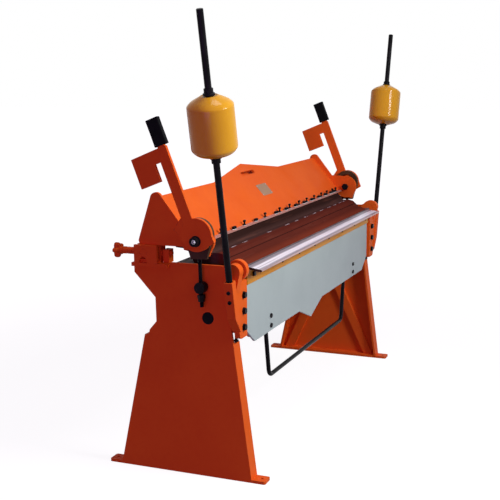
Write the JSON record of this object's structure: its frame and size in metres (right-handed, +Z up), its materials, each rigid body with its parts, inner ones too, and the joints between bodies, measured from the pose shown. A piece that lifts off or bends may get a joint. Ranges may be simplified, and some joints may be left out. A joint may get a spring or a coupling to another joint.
{
  "type": "box and pan brake",
  "caption": "Floor-standing box and pan brake: a beam of separate fingers clamps the sheet and a hinged leaf with counterweight arms folds it.",
  "frame": {"origin": "on the floor, below the middle of the machine's bounding box", "axes": "+X along the folding edge to the right seen from the front, +Y to the back, +Z up; the folding leaf is at -Y"},
  "size_m": [2.6426, 0.7, 1.8243],
  "materials": {
    "orange_paint": "smooth gloss enamel",
    "black_steel": "blackened, half gloss",
    "black_grip": "moulded grip",
    "brown_strap": "oiled bare casting",
    "brown_fingers": "glossy dark coating",
    "yellow_paint": "smooth gloss enamel",
    "bright_nose": "ground bright",
    "ochre_bar": "smooth enamel",
    "grey_panel": "satin enamel",
    "pink_ledge": "thin worn paint"
  },
  "bodies": {
    "frame": {"left_leg": "orange_paint", "right_leg": "orange_paint", "bed_beam": "orange_paint", "bed_plate": "orange_paint", "hinge_pins": "orange_paint", "leg_plugs": "black_steel"},
    "carriage": {"left_pivot_block": "orange_paint", "right_pivot_block": "orange_paint", "carriage_pins": "orange_paint"},
    "clamp_beam": {"beam_front_plate": "orange_paint", "beam_back_plate": "orange_paint", "beam_ledge": "pink_ledge", "left_end_plate": "orange_paint", "right_end_plate": "orange_paint", "lever_bolts": "black_steel", "finger_cap_screws": "black_steel", "finger_jack_bolts": "black_steel", "finger_01": "brown_fingers", "finger_02": "brown_fingers", "finger_03": "brown_fingers", "finger_04": "brown_fingers", "finger_05": "brown_fingers", "finger_06": "brown_fingers", "finger_07": "brown_fingers", "finger_08": "brown_fingers", "finger_09": "brown_fingers", "finger_10": "brown_fingers", "finger_11": "brown_fingers", "finger_12": "brown_fingers"},
    "leaf": {"nose_bar": "bright_nose", "leaf_bar": "ochre_bar", "leaf_panel": "grey_panel", "leaf_frame": "orange_paint", "leaf_bolts": "black_steel", "lifting_handle": "black_steel", "left_end_block": "orange_paint", "left_rod_socket": "orange_paint", "left_rod": "black_steel", "right_end_block": "orange_paint", "right_rod_socket": "orange_paint", "right_rod": "black_steel"},
    "left_lever": {"left_lever": "orange_paint", "left_lever_grip": "black_grip"},
    "left_link": {"left_link_head": "brown_strap", "left_link_rod": "black_steel", "left_trunnion": "black_steel"},
    "left_weight": {"left_counterweight": "yellow_paint", "left_rod_collars": "black_steel"},
    "left_screw": {"left_adjusting_screw": "orange_paint", "left_adjusting_knob": "orange_paint"},
    "right_lever": {"right_lever": "orange_paint", "right_lever_grip": "black_grip"},
    "right_link": {"right_link_head": "brown_strap", "right_link_rod": "black_steel", "right_trunnion": "black_steel"},
    "right_weight": {"right_counterweight": "yellow_paint", "right_rod_collars": "black_steel"},
    "right_screw": {"right_adjusting_screw": "orange_paint", "right_adjusting_knob": "orange_paint"}
  },
  "joints": [
    {"name": "leaf_fold", "type": "hinge", "parent": "frame", "child": "leaf", "pos_m": [0, -0.238, 0.859], "axis": [-1, 0, 0], "range_deg": [0, 135]},
    {"name": "carriage_slide", "type": "slide", "parent": "frame", "child": "carriage", "axis": [0, 1, 0], "range_m": [-0.0025, 0.0025]},
    {"name": "clamp_lift", "type": "hinge", "parent": "carriage", "child": "clamp_beam", "pos_m": [0, 0.153, 0.908], "axis": [1, 0, 0], "range_deg": [-2.9, 0]},
    {"name": "left_lever_turn", "type": "hinge", "parent": "clamp_beam", "child": "left_lever", "pos_m": [-1.016, -0.088, 0.971], "axis": [1, 0, 0], "range_deg": [0, 70]},
    {"name": "left_link_swing", "type": "hinge", "parent": "frame", "child": "left_link", "pos_m": [-0.998, -0.095, 0.785], "axis": [1, 0, 0], "range_deg": [0, 5.5]},
    {"name": "left_weight_slide", "type": "slide", "parent": "leaf", "child": "left_weight", "axis": [-0.2453, -0.0105, 0.9694], "range_m": [-0.4, 0.24]},
    {"name": "left_screw_turn", "type": "hinge", "parent": "carriage", "child": "left_screw", "pos_m": [-0.948, 0.25, 0.905], "axis": [0, 1, 0], "range_deg": [-361, 361]},
    {"name": "right_lever_turn", "type": "hinge", "parent": "clamp_beam", "child": "right_lever", "pos_m": [1.016, -0.088, 0.971], "axis": [1, 0, 0], "range_deg": [0, 70]},
    {"name": "right_link_swing", "type": "hinge", "parent": "frame", "child": "right_link", "pos_m": [0.998, -0.095, 0.785], "axis": [1, 0, 0], "range_deg": [0, 5.5]},
    {"name": "right_weight_slide", "type": "slide", "parent": "leaf", "child": "right_weight", "axis": [0.2453, -0.0105, 0.9694], "range_m": [-0.4, 0.24]},
    {"name": "right_screw_turn", "type": "hinge", "parent": "carriage", "child": "right_screw", "pos_m": [0.948, 0.25, 0.905], "axis": [0, 1, 0], "range_deg": [-361, 361]}
  ],
  "couplings": [
    {"joint": "left_lever_turn", "follows": "clamp_lift", "ratio": -24},
    {"joint": "left_link_swing", "follows": "clamp_lift", "ratio": -1.88},
    {"joint": "right_lever_turn", "follows": "clamp_lift", "ratio": -24},
    {"joint": "right_link_swing", "follows": "clamp_lift", "ratio": -1.88},
    {"joint": "left_screw_turn", "follows": "carriage_slide", "rad_per_m": 2513.3},
    {"joint": "right_screw_turn", "follows": "carriage_slide", "rad_per_m": 2513.3}
  ]
}
